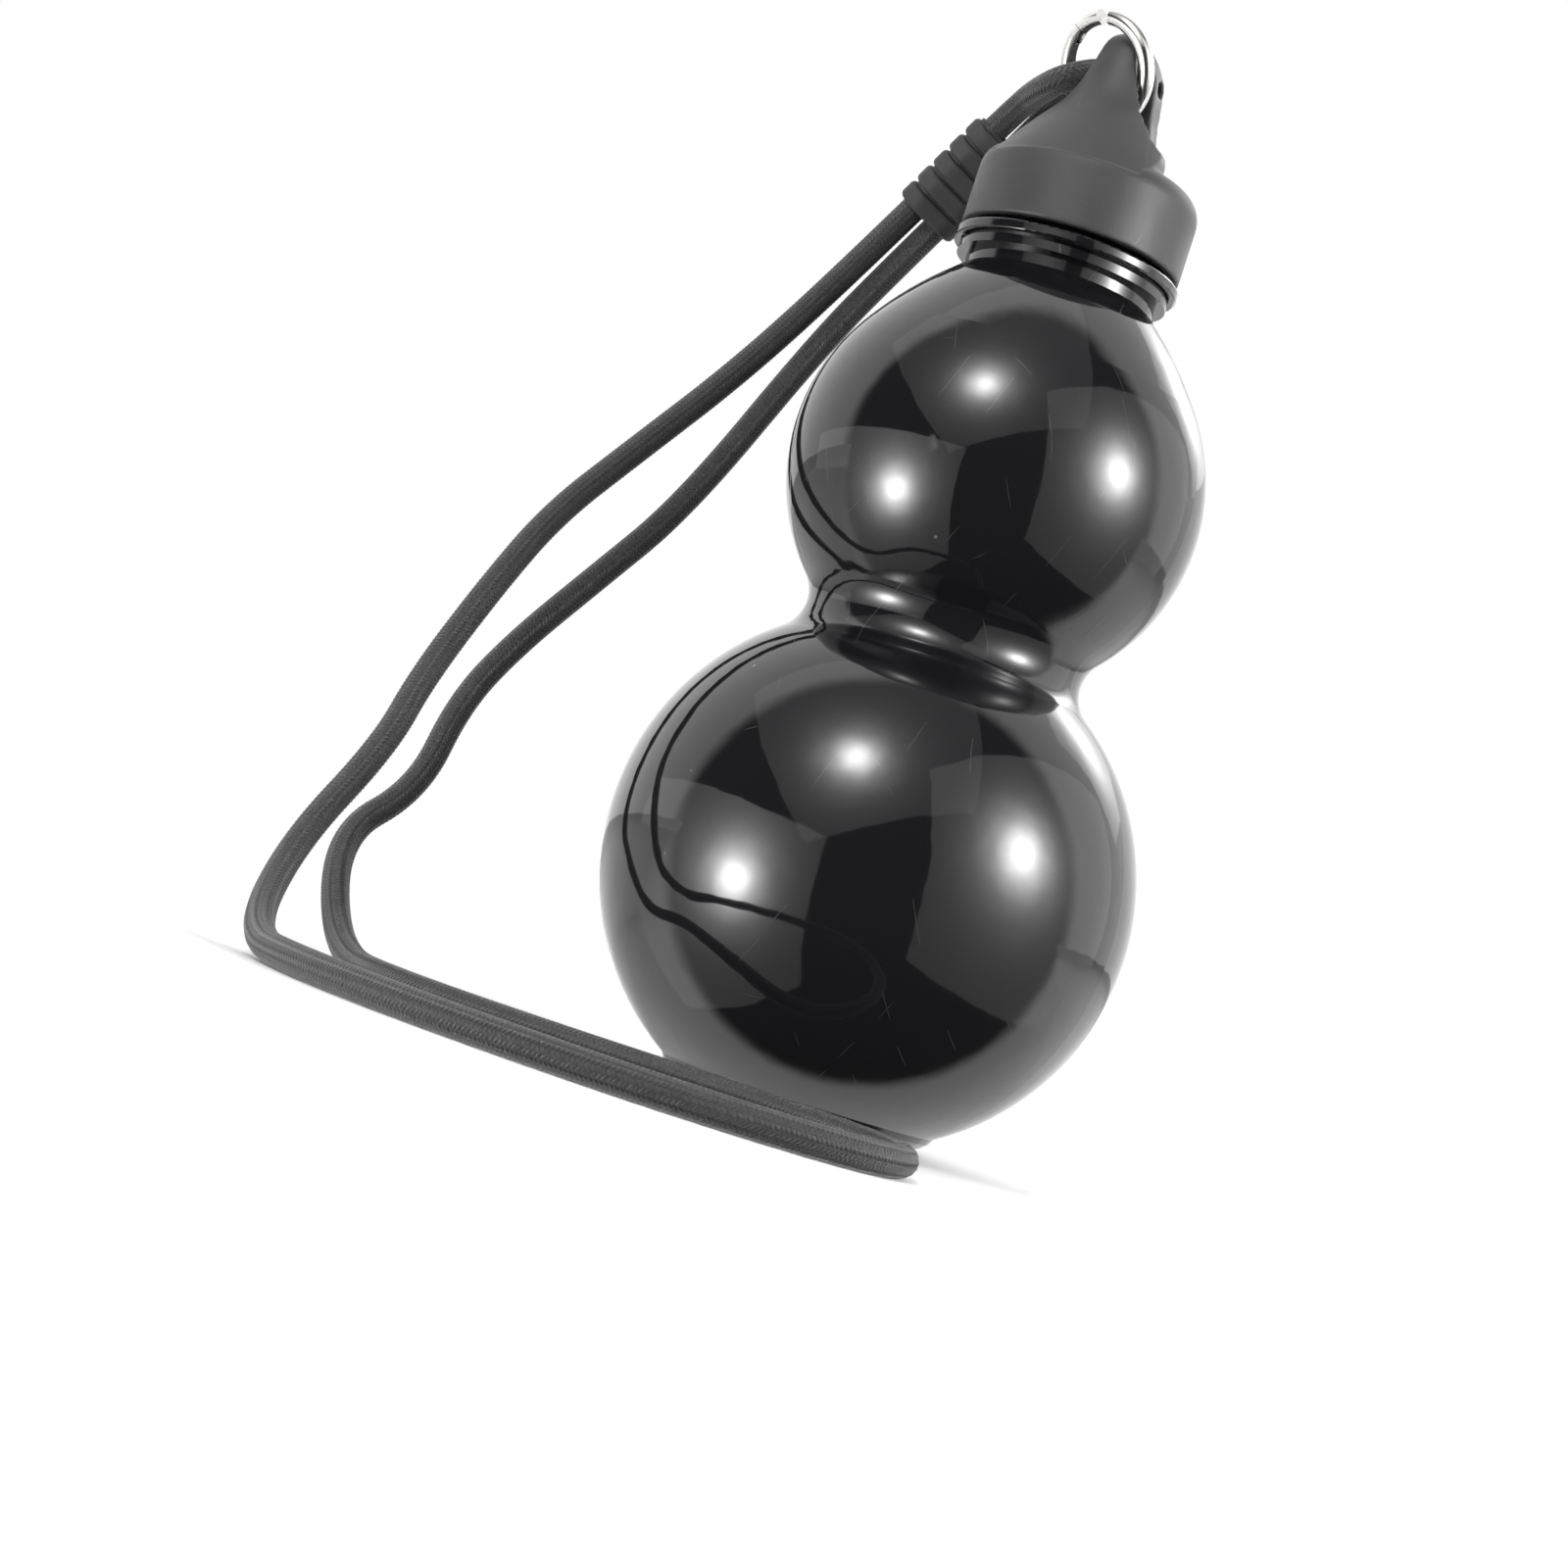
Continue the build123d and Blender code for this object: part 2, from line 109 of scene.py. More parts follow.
# Colours
shell_black = (0.006, 0.006, 0.007, 1)
shell_dust = (0.3, 0.3, 0.3, 1)
cap_dark = (0.022, 0.022, 0.023, 1)
cap_light = (0.042, 0.042, 0.043, 1)
cap_dust = (0.25, 0.25, 0.25, 1)
rubber_dark = (0.022, 0.022, 0.022, 1)
rubber_light = (0.040, 0.040, 0.040, 1)
silicone_dark = (0.55, 0.57, 0.58, 1)
silicone_light = (0.68, 0.69, 0.70, 1)
# Yarn colours: the dark one is painted shade in the grooves between filaments and the light one is on their
# crests, both also used for slow random tone
yarn_dark = (0.007, 0.007, 0.007, 1)
yarn_light = (0.044, 0.042, 0.042, 1)
floor_pale = (0.78, 0.78, 0.78, 1)
room_dark = (0.05, 0.05, 0.05, 1)
backdrop_light = (1.3, 1.3, 1.3, 1)
plain_white = (1, 1, 1, 1)


def put(tree, kind, inputs=None, **settings):
    """Add a node, set its properties and fill its inputs with values or links."""
    node = tree.nodes.new(kind)
    for name, value in settings.items():
        setattr(node, name, value)
    for key, value in (inputs or {}).items():
        if isinstance(value, bpy.types.NodeSocket):
            tree.links.new(value, node.inputs[key])
        else:
            node.inputs[key].default_value = value
    return node


def calc(tree, operation, *values):
    """One math node's output."""
    return put(tree, "ShaderNodeMath", dict(enumerate(values)), operation=operation).outputs[0]


def vector_calc(tree, operation, *values):
    """One vector math node."""
    return put(tree, "ShaderNodeVectorMath", dict(enumerate(values)), operation=operation)


def ramp(tree, value, first, last, low=0.0, high=1.0):
    """Smooth change from low to high while value goes from first to last."""
    settings = {"Value": value, "From Min": first, "From Max": last, "To Min": low, "To Max": high}
    node = put(tree, "ShaderNodeMapRange", settings, interpolation_type="SMOOTHSTEP")
    return node.outputs["Result"]


def scaled(tree, direction, factor):
    """A vector times a number."""
    return put(tree, "ShaderNodeVectorMath", {0: direction, "Scale": factor}, operation="SCALE").outputs[0]


def blend_colours(tree, share, first, second):
    """Mix of two colours."""
    node = tree.nodes.new("ShaderNodeMix")
    node.data_type = "RGBA"
    for key, value in ((0, share), (6, first), (7, second)):
        if isinstance(value, bpy.types.NodeSocket):
            tree.links.new(value, node.inputs[key])
        else:
            node.inputs[key].default_value = value
    return node.outputs[2]


def group_of(name, kind, inputs, outputs):
    """Node group with named inputs and outputs; gives the tree, its input node and its output node."""
    tree = bpy.data.node_groups.new(name, kind)
    for label, socket, value in inputs:
        made = tree.interface.new_socket(label, in_out="INPUT", socket_type=socket)
        if value is not None:
            made.default_value = value
    for label, socket in outputs:
        tree.interface.new_socket(label, in_out="OUTPUT", socket_type=socket)
    return tree, tree.nodes.new("NodeGroupInput"), tree.nodes.new("NodeGroupOutput")


number = "NodeSocketFloat"
whole = "NodeSocketInt"
vector = "NodeSocketVector"
shape = "NodeSocketGeometry"


def make_grain():
    """Fine spark-eroded grain of a mould, with slow changes of tone."""
    sockets = [("Place", vector, None), ("Grain size", number, 0.0004), ("Patch size", number, 0.02)]
    outputs = [("Height", number), ("Patches", number)]
    tree, given, made = group_of("mould_grain", "ShaderNodeTree", sockets, outputs)
    fine_scale = calc(tree, "DIVIDE", 1.0, given.outputs["Grain size"])
    slow_scale = calc(tree, "DIVIDE", 1.0, given.outputs["Patch size"])
    place = given.outputs["Place"]
    fine = put(tree, "ShaderNodeTexNoise", {
        "Vector": place, "Scale": fine_scale, "Detail": 3.0, "Roughness": 0.6})
    pits = put(tree, "ShaderNodeTexVoronoi", {"Vector": place, "Scale": fine_scale})
    slow = put(tree, "ShaderNodeTexNoise", {
        "Vector": place, "Scale": slow_scale, "Detail": 4.0, "Roughness": 0.55})
    pit_depth = calc(tree, "MULTIPLY", pits.outputs["Distance"], 0.5)
    height = calc(tree, "ADD", fine.outputs[0], pit_depth)
    tree.links.new(height, made.inputs["Height"])
    tree.links.new(slow.outputs[0], made.inputs["Patches"])
    return tree


def make_handling():
    """Sparse hair scratches and dust specks left by use."""
    sockets = [("Place", vector, None), ("Scratch size", number, 0.02), ("Speck size", number, 0.004)]
    outputs = [("Scratches", number), ("Specks", number)]
    tree, given, made = group_of("handling_marks", "ShaderNodeTree", sockets, outputs)
    place = given.outputs["Place"]
    scratch_scale = calc(tree, "DIVIDE", 1.0, given.outputs["Scratch size"])
    speck_scale = calc(tree, "DIVIDE", 1.0, given.outputs["Speck size"])
    stretch = (1.0, 1.0, 0.3)
    rarity = 0.8
    lines = []
    for turn in ((0.3, 0.9, 0.2), (1.2, 0.1, 2.1), (2.2, 1.7, 0.9)):
        laid = put(tree, "ShaderNodeMapping", {"Vector": place, "Rotation": turn, "Scale": stretch})
        cells = put(tree, "ShaderNodeTexVoronoi", {"Vector": laid.outputs[0], "Scale": scratch_scale},
                    feature="F1", distance="EUCLIDEAN")
        apart = put(tree, "ShaderNodeSeparateXYZ", {
            "Vector": vector_calc(tree, "SUBTRACT", laid.outputs[0], cells.outputs["Position"]).outputs[0]})
        aside = calc(tree, "MULTIPLY", calc(tree, "ABSOLUTE", apart.outputs[0]), scratch_scale)
        line = ramp(tree, aside, 0.010, 0.003)
        ends = ramp(tree, cells.outputs["Distance"], 0.5, 0.3)
        chosen = put(tree, "ShaderNodeSeparateColor", {"Color": cells.outputs["Color"]}).outputs[0]
        few = calc(tree, "MULTIPLY", calc(tree, "GREATER_THAN", chosen, rarity), chosen)
        lines.append(calc(tree, "MULTIPLY", calc(tree, "MULTIPLY", line, ends), few))
    dots = put(tree, "ShaderNodeTexVoronoi", {"Vector": place, "Scale": speck_scale, "Randomness": 1.0})
    dot = ramp(tree, dots.outputs["Distance"], 0.05, 0.02)
    drawn = put(tree, "ShaderNodeSeparateColor", {"Color": dots.outputs["Color"]}).outputs[0]
    rare = calc(tree, "GREATER_THAN", drawn, rarity)
    scratches = calc(tree, "MAXIMUM", calc(tree, "MAXIMUM", lines[0], lines[1]), lines[2])
    tree.links.new(scratches, made.inputs["Scratches"])
    tree.links.new(calc(tree, "MULTIPLY", dot, rare), made.inputs["Specks"])
    return tree


def make_yarn():
    """Filaments that run along a yarn, from the yarn's own length and width; the tone is half painted shade,
    darker in the grooves between filaments, and half slow random tone.
    """
    sockets = [("Filaments", number, 7.0), ("Twist length", number, 0.004)]
    outputs = [("Height", number), ("Groove_shade_and_tone", number)]
    tree, given, made = group_of("yarn_filaments", "ShaderNodeTree", sockets, outputs)
    laid = put(tree, "ShaderNodeUVMap", uv_map="UVMap")
    parts = put(tree, "ShaderNodeSeparateXYZ", {"Vector": laid.outputs[0]})
    along = calc(tree, "DIVIDE", parts.outputs[0], given.outputs["Twist length"])
    turned = calc(tree, "ADD", calc(tree, "MULTIPLY", parts.outputs[1], given.outputs["Filaments"]), along)
    wave = calc(tree, "SINE", calc(tree, "MULTIPLY", turned, 2 * pi))
    half_wave = calc(tree, "MULTIPLY", wave, 0.5)
    height = calc(tree, "ADD", half_wave, 0.5)
    where = put(tree, "ShaderNodeTexCoord").outputs["Object"]
    slow = put(tree, "ShaderNodeTexNoise", {"Vector": where, "Scale": 260.0, "Detail": 2.0})
    # Painted shade: half of the tone follows the filament height, so the grooves between filaments are
    # darker; the other half is slow random tone
    half_height = calc(tree, "MULTIPLY", height, 0.5)
    half_slow = calc(tree, "MULTIPLY", slow.outputs[0], 0.5)
    tree.links.new(height, made.inputs["Height"])
    tree.links.new(calc(tree, "ADD", half_height, half_slow), made.inputs["Groove_shade_and_tone"])
    return tree


mould_grain = make_grain()
handling_marks = make_handling()
yarn_filaments = make_yarn()


def finish_of(name, **settings):
    """Material with a Principled shader and Object coordinates; gives its tree, shader and coordinates."""
    material = bpy.data.materials.new(name)
    material.use_nodes = True
    tree = material.node_tree
    shader = tree.nodes["Principled BSDF"]
    for label, value in settings.items():
        shader.inputs[label.replace("_", " ")].default_value = value
    where = put(tree, "ShaderNodeTexCoord").outputs["Object"]
    return material, tree, shader, where


def use_group(tree, group, **inputs):
    """Place a shared node group with its own values."""
    node = tree.nodes.new("ShaderNodeGroup")
    node.node_tree = group
    for label, value in inputs.items():
        socket = node.inputs[label.replace("_", " ")]
        if isinstance(value, bpy.types.NodeSocket):
            tree.links.new(value, socket)
        else:
            socket.default_value = value
    return node


def relief(tree, shader, height, depth, onto=None):
    """Bump from a height of 0 to 1, depth in metres."""
    node = put(tree, "ShaderNodeBump", {"Height": height, "Distance": depth, "Strength": 1.0})
    if onto is not None:
        tree.links.new(onto, node.inputs["Normal"])
    tree.links.new(node.outputs[0], shader.inputs["Normal"])
    return node.outputs[0]


# Where the two halves of the blow mould met: a plane through the bottle's axis
parting_normal = Vector((0.629, -0.777, 0.0)).normalized()


def make_bottle_black():
    """High gloss of the blown shell, with soft waves, hair scratches, dust and the mould's parting line."""
    material, tree, shader, where = finish_of("gloss_black", IOR=1.55)
    marks = use_group(tree, handling_marks, Place=where, Scratch_size=0.006, Speck_size=0.009)
    grain = use_group(tree, mould_grain, Place=where, Grain_size=0.03, Patch_size=0.05)
    worn = calc(tree, "MULTIPLY", marks.outputs["Scratches"], 0.14)
    rough = calc(tree, "ADD", ramp(tree, grain.outputs["Patches"], 0.35, 0.7, 0.035, 0.07), worn)
    tree.links.new(rough, shader.inputs["Roughness"])
    pale_lines = calc(tree, "MULTIPLY", marks.outputs["Scratches"], 0.3)
    dusty = calc(tree, "MULTIPLY", calc(tree, "MAXIMUM", marks.outputs["Specks"], pale_lines), 0.35)
    tree.links.new(blend_colours(tree, dusty, shell_black, shell_dust), shader.inputs["Base Color"])
    away = calc(tree, "ABSOLUTE", vector_calc(tree, "DOT_PRODUCT", where, parting_normal).outputs["Value"])
    seam = ramp(tree, away, 0.0003, 0.00005)
    wave = relief(tree, shader, grain.outputs["Patches"], 0.00035)
    relief(tree, shader, seam, 0.00004, onto=wave)
    return material


def make_cap_black():
    """Matt grained plastic of the cap."""
    material, tree, shader, where = finish_of("matt_black", Specular_IOR_Level=0.42)
    grain = use_group(tree, mould_grain, Place=where, Grain_size=0.00035, Patch_size=0.014)
    marks = use_group(tree, handling_marks, Place=where, Scratch_size=0.01, Speck_size=0.003)
    tone = blend_colours(tree, grain.outputs["Patches"], cap_dark, cap_light)
    dusty = calc(tree, "MULTIPLY", marks.outputs["Specks"], 0.3)
    tree.links.new(blend_colours(tree, dusty, tone, cap_dust), shader.inputs["Base Color"])
    rough = ramp(tree, grain.outputs["Patches"], 0.3, 0.7, 0.42, 0.56)
    tree.links.new(calc(tree, "SUBTRACT", rough, calc(tree, "MULTIPLY", marks.outputs["Scratches"], 0.15)),
                   shader.inputs["Roughness"])
    relief(tree, shader, grain.outputs["Height"], 0.00003)
    return material


def make_rubber():
    """Matt rubber of the cord's stopper."""
    material, tree, shader, where = finish_of("stopper_rubber", Specular_IOR_Level=0.35)
    grain = use_group(tree, mould_grain, Place=where, Grain_size=0.0003, Patch_size=0.006)
    tone = blend_colours(tree, grain.outputs["Patches"], rubber_dark, rubber_light)
    tree.links.new(tone, shader.inputs["Base Color"])
    tree.links.new(ramp(tree, grain.outputs["Patches"], 0.3, 0.7, 0.55, 0.72), shader.inputs["Roughness"])
    relief(tree, shader, grain.outputs["Height"], 0.00002)
    return material


def make_silicone():
    """Soft pale rubber of the gasket."""
    material, tree, shader, where = finish_of("seal_silicone", Subsurface_Weight=0.2, Subsurface_Scale=0.002)
    grain = use_group(tree, mould_grain, Place=where, Grain_size=0.0006, Patch_size=0.01)
    tone = blend_colours(tree, grain.outputs["Patches"], silicone_dark, silicone_light)
    tree.links.new(tone, shader.inputs["Base Color"])
    tree.links.new(ramp(tree, grain.outputs["Patches"], 0.3, 0.7, 0.4, 0.55), shader.inputs["Roughness"])
    relief(tree, shader, grain.outputs["Height"], 0.00001)
    return material


def make_metal(name, light, dark, low, high):
    """Metal with its two tones and the range of its roughness."""
    material, tree, shader, where = finish_of(name, Metallic=1.0)
    grain = use_group(tree, mould_grain, Place=where, Grain_size=0.0008, Patch_size=0.004)
    marks = use_group(tree, handling_marks, Place=where, Scratch_size=0.003, Speck_size=0.002)
    tone = blend_colours(tree, grain.outputs["Patches"], light, dark)
    scuffed = blend_colours(tree, calc(tree, "MULTIPLY", marks.outputs["Scratches"], 0.4), tone, dark)
    tree.links.new(scuffed, shader.inputs["Base Color"])
    rough = ramp(tree, grain.outputs["Patches"], 0.3, 0.7, low, high)
    tree.links.new(calc(tree, "ADD", rough, calc(tree, "MULTIPLY", marks.outputs["Scratches"], 0.12)),
                   shader.inputs["Roughness"])
    relief(tree, shader, grain.outputs["Height"], 0.000004)
    return material


def make_yarn_black():
    """Dull black yarn with its filaments, its colour darker in the grooves between them as painted shade."""
    material, tree, shader, _ = finish_of(
        "braid_black", Specular_IOR_Level=0.4, Sheen_Weight=0.25, Sheen_Roughness=0.4)
    yarn = use_group(tree, yarn_filaments)
    # Painted shade: the yarn's colour goes towards yarn_dark in the grooves between filaments and towards
    # yarn_light on their crests, mixed with slow random tone
    tone = blend_colours(tree, yarn.outputs["Groove_shade_and_tone"], yarn_dark, yarn_light)
    tree.links.new(tone, shader.inputs["Base Color"])
    tree.links.new(ramp(tree, yarn.outputs["Groove_shade_and_tone"], 0.2, 0.8, 0.42, 0.6), shader.inputs["Roughness"])
    relief(tree, shader, yarn.outputs["Height"], 0.00004)
    return material


gloss_black = make_bottle_black()
matt_black = make_cap_black()
rubber = make_rubber()
silicone = make_silicone()
nickel = make_metal("bright_nickel", (0.80, 0.79, 0.77, 1), (0.62, 0.61, 0.59, 1), 0.08, 0.2)
pin_steel = make_metal("pin_steel", (0.66, 0.66, 0.66, 1), (0.50, 0.50, 0.50, 1), 0.16, 0.3)
spring_steel = make_metal("spring_wire", (0.55, 0.55, 0.56, 1), (0.40, 0.40, 0.41, 1), 0.2, 0.35)
yarn_black = make_yarn_black()

for node, material in (
    ("bottle_body", gloss_black),
    ("cap", matt_black),
    ("cap_gasket", silicone),
    ("snap_ring", nickel),
    ("ring_gate", nickel),
    ("gate_pin", pin_steel),
    ("gate_spring", spring_steel),
    ("cord_stopper", rubber),
):
    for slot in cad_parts[node].material_slots:
        slot.material = material


def modifier_inputs(tree, modifier, values):
    """Set a node tree's named inputs on its modifier."""
    for item in tree.interface.items_tree:
        if item.item_type == "SOCKET" and item.in_out == "INPUT" and item.name in values:
            modifier[item.identifier] = values[item.name]


def piece_from_tree(name, source, tree, values, material):
    """Plain mesh piece made by a node tree on a source object's data."""
    carrier = bpy.data.objects.new(name + "_carrier", source)
    bpy.context.scene.collection.objects.link(carrier)
    modifier = carrier.modifiers.new("tree", "NODES")
    modifier.node_group = tree
    modifier_inputs(tree, modifier, values)
    graph = bpy.context.evaluated_depsgraph_get()
    mesh = bpy.data.meshes.new_from_object(carrier.evaluated_get(graph), depsgraph=graph)
    bpy.data.objects.remove(carrier)
    piece = bpy.data.objects.new(name, mesh)
    bpy.context.scene.collection.objects.link(piece)
    mesh.materials.clear()
    mesh.materials.append(material)
    mesh.shade_smooth()
    return piece


def make_braid_tree():
    """Yarns of one direction of a two-over-two braid round a route."""
    sockets = [
        ("Geometry", shape, None),
        ("Yarns", whole, 1),
        ("First yarn", whole, 0),
        ("Carriers", whole, yarns_each_way),
        ("Direction", number, 1.0),
        ("Lead", number, braid_lead),
        ("Radius", number, braid_radius),
        ("Rise", number, braid_rise),
        ("Yarn width", number, yarn_width),
        ("Yarn thickness", number, yarn_thickness),
    ]
    tree, given, made = group_of("braided_yarns", "GeometryNodeTree", sockets, [("Geometry", shape)])
    get = given.outputs
    step = calc(tree, "DIVIDE", get["Lead"], calc(tree, "MULTIPLY", get["Carriers"], 2.0))
    evened = put(tree, "GeometryNodeResampleCurve", {"Curve": get["Geometry"], "Length": step},
                 mode="LENGTH")
    steady = put(tree, "GeometryNodeSetCurveNormal", {"Curve": evened.outputs[0]}, mode="MINIMUM_TWIST")
    many = put(tree, "GeometryNodeDuplicateElements",
               {"Geometry": steady.outputs[0], "Amount": get["Yarns"]}, domain="SPLINE")
    number_of = calc(tree, "ADD", many.outputs["Duplicate Index"], get["First yarn"])
    along = put(tree, "GeometryNodeSplineParameter").outputs["Length"]
    crossings = calc(tree, "DIVIDE", along, step)
    passed = calc(tree, "MULTIPLY", crossings, get["Direction"])
    turned = calc(tree, "DIVIDE", calc(tree, "MULTIPLY", passed, 2 * pi),
                  calc(tree, "MULTIPLY", get["Carriers"], 2.0))
    placed = calc(tree, "DIVIDE", calc(tree, "MULTIPLY", number_of, 2 * pi), get["Carriers"])
    angle = calc(tree, "ADD", turned, placed)
    doubled = calc(tree, "MULTIPLY", number_of, 2.0)
    column = calc(tree, "MULTIPLY", calc(tree, "ADD", calc(tree, "ADD", doubled, passed), 0.5), pi / 2)
    swing = calc(tree, "MULTIPLY", calc(tree, "SINE", column), calc(tree, "SQRT", 2.0))
    lift = calc(tree, "MULTIPLY", calc(tree, "MULTIPLY", swing, get["Direction"]), get["Rise"])
    radius = calc(tree, "ADD", get["Radius"], lift)
    normal = put(tree, "GeometryNodeInputNormal").outputs[0]
    tangent = put(tree, "GeometryNodeInputTangent").outputs[0]
    side = vector_calc(tree, "CROSS_PRODUCT", tangent, normal).outputs[0]
    first = scaled(tree, normal, calc(tree, "COSINE", angle))
    second = scaled(tree, side, calc(tree, "SINE", angle))
    outward = vector_calc(tree, "ADD", first, second).outputs[0]
    kept = put(tree, "GeometryNodeCaptureAttribute", {"Geometry": many.outputs["Geometry"]}, domain="POINT")
    kept.capture_items.new("VECTOR", "outward")
    kept.capture_items.new("FLOAT", "radius")
    tree.links.new(outward, kept.inputs[1])
    tree.links.new(radius, kept.inputs[2])
    shift = scaled(tree, kept.outputs[1], kept.outputs[2])
    wound = put(tree, "GeometryNodeSetPosition", {"Geometry": kept.outputs[0], "Offset": shift})
    facing = put(tree, "GeometryNodeSetCurveNormal", {"Curve": wound.outputs[0]}, mode="FREE")
    tree.links.new(kept.outputs[1], facing.inputs["Normal"])
    length = put(tree, "GeometryNodeSplineParameter")
    noted = put(tree, "GeometryNodeCaptureAttribute", {"Geometry": facing.outputs[0]}, domain="POINT")
    noted.capture_items.new("FLOAT", "along")
    tree.links.new(length.outputs["Length"], noted.inputs[1])
    ring = put(tree, "GeometryNodeCurvePrimitiveCircle", {"Resolution": 6, "Radius": 0.5}, mode="RADIUS")
    size = put(tree, "ShaderNodeCombineXYZ",
               {"X": get["Yarn thickness"], "Y": get["Yarn width"], "Z": 1.0}).outputs[0]
    flat = put(tree, "GeometryNodeTransform", {"Geometry": ring.outputs[0], "Scale": size})
    around = put(tree, "GeometryNodeCaptureAttribute", {"Geometry": flat.outputs[0]}, domain="POINT")
    around.capture_items.new("FLOAT", "around")
    tree.links.new(put(tree, "GeometryNodeSplineParameter").outputs["Factor"], around.inputs[1])
    swept = put(tree, "GeometryNodeCurveToMesh",
                {"Curve": noted.outputs[0], "Profile Curve": around.outputs[0], "Fill Caps": True})
    pair = put(tree, "ShaderNodeCombineXYZ", {"X": noted.outputs[1], "Y": around.outputs[1]}).outputs[0]
    stored = put(tree, "GeometryNodeStoreNamedAttribute", {"Geometry": swept.outputs[0], "Name": "UVMap"},
                 data_type="FLOAT2", domain="CORNER")
    tree.links.new(pair, stored.inputs["Value"])
    smooth = put(tree, "GeometryNodeSetShadeSmooth", {"Geometry": stored.outputs[0]})
    real = put(tree, "GeometryNodeRealizeInstances", {"Geometry": smooth.outputs[0]})
    dressed = put(tree, "GeometryNodeSetMaterial", {"Geometry": real.outputs[0], "Material": yarn_black})
    tree.links.new(dressed.outputs[0], made.inputs[0])
    return tree


def route_curve(name, bevel):
    """NURBS curve on the cord's route."""
    curve = bpy.data.curves.new(name, "CURVE")
    curve.dimensions = "3D"
    spline = curve.splines.new("NURBS")
    spline.points.add(len(route_shares) - 1)
    for point, share in zip(spline.points, route_shares):
        point.co = (*(Vector(share) * decimetre), 1.0)
    spline.order_u = 3
    spline.use_endpoint_u = True
    curve.resolution_u = 12
    curve.bevel_depth = bevel
    curve.bevel_resolution = 4
    curve.use_fill_caps = True
    return curve


lanyard_core = bpy.data.objects.new("lanyard_core", route_curve("lanyard_core", core_radius))
bpy.context.scene.collection.objects.link(lanyard_core)
lanyard_core.data.materials.append(yarn_black)

braid_tree = make_braid_tree()
bare_route = route_curve("lanyard_route", 0.0)
yarns_in_piece = yarns_each_way // 2
braids = []
for hand, direction in (("right", 1.0), ("left", -1.0)):
    for half in (0, 1):
        label = f"braid_{hand}_{half + 1}"
        yarns = {"Yarns": yarns_in_piece, "First yarn": yarns_in_piece * half, "Direction": direction}
        braids.append(piece_from_tree(label, bare_route, braid_tree, yarns, yarn_black))

for piece in [lanyard_core, *braids]:
    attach(piece, "ring_body")
    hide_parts("lanyard_cord")


def soften_cap():
    """The cap with the small rounds of a moulding, from a finer mesh of its solid."""
    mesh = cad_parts["cap"].data.copy()
    piece = bpy.data.objects.new("cap_moulding", mesh)
    bpy.context.scene.collection.objects.link(piece)
    form = bmesh.new()
    form.from_mesh(mesh)
    bmesh.ops.remove_doubles(form, verts=form.verts, dist=1e-6)
    form.to_mesh(mesh)
    form.free()
    grid = piece.modifiers.new("grid", "REMESH")
    grid.mode = "VOXEL"
    grid.voxel_size = moulding_grid
    grid.use_smooth_shade = True
    rounds = piece.modifiers.new("rounds", "SMOOTH")
    rounds.factor = 0.5
    rounds.iterations = moulding_passes
    graph = bpy.context.evaluated_depsgraph_get()
    result = bpy.data.meshes.new_from_object(piece.evaluated_get(graph), depsgraph=graph)
    piece.modifiers.clear()
    piece.data = result
    result.materials.clear()
    result.materials.append(matt_black)
    result.shade_smooth()
    return piece


cap_moulding = soften_cap()
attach(cap_moulding, "cap_body")
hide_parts("cap")


def make_thread_tree():
    """One screw thread ridge that fades out at both ends."""
    sockets = [
        ("Geometry", shape, None),
        ("Turns", number, thread_turns),
        ("Pitch", number, thread_pitch),
        ("Root radius", number, neck_ridge["Root radius"]),
        ("Depth", number, neck_ridge["Depth"]),
        ("Foot", number, neck_ridge["Foot"]),
        ("Crest", number, neck_ridge["Crest"]),
        ("Start height", number, neck_ridge["Start height"]),
        ("Ridge material", "NodeSocketMaterial", None),
    ]
    tree, given, made = group_of("screw_thread", "GeometryNodeTree", sockets, [("Geometry", shape)])
    get = given.outputs
    rise = calc(tree, "MULTIPLY", get["Turns"], get["Pitch"])
    helix = put(tree, "GeometryNodeCurveSpiral", {
        "Resolution": 96, "Rotations": get["Turns"], "Start Radius": get["Root radius"],
        "End Radius": get["Root radius"], "Height": rise})
    ahead = put(tree, "GeometryNodeSetCurveNormal", {"Curve": helix.outputs[0]}, mode="Z_UP")
    share = put(tree, "GeometryNodeSplineParameter").outputs["Factor"]
    start = ramp(tree, share, 0.0, 0.07, 0.02, 1.0)
    finish = ramp(tree, share, 0.93, 1.0, 1.0, 0.02)
    fade = calc(tree, "MULTIPLY", start, finish)
    faded = put(tree, "GeometryNodeSetCurveRadius", {"Curve": ahead.outputs[0], "Radius": fade})
    ridge = put(tree, "GeometryNodeCurvePrimitiveQuadrilateral", {
        "Height": get["Depth"], "Bottom Width": get["Foot"], "Top Width": get["Crest"], "Offset": 0.0},
        mode="TRAPEZOID")
    swept = put(tree, "GeometryNodeCurveToMesh", {
        "Curve": faded.outputs[0], "Profile Curve": ridge.outputs[0], "Scale": fade, "Fill Caps": True})
    move = put(tree, "ShaderNodeCombineXYZ", {"Z": get["Start height"]}).outputs[0]
    placed = put(tree, "GeometryNodeTransform", {"Geometry": swept.outputs[0], "Translation": move})
    real = put(tree, "GeometryNodeRealizeInstances", {"Geometry": placed.outputs[0]})
    dressed = put(tree, "GeometryNodeSetMaterial", {"Geometry": real.outputs[0]})
    tree.links.new(get["Ridge material"], dressed.inputs["Material"])
    tree.links.new(dressed.outputs[0], made.inputs[0])
    return tree


thread_tree = make_thread_tree()
blank = bpy.data.meshes.new("blank")
neck_thread = piece_from_tree("neck_thread", blank, thread_tree, neck_ridge, gloss_black)
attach(neck_thread, "bottle")
skirt_thread = piece_from_tree("skirt_thread", blank, thread_tree, skirt_ridge, matt_black)
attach(skirt_thread, "cap_body")

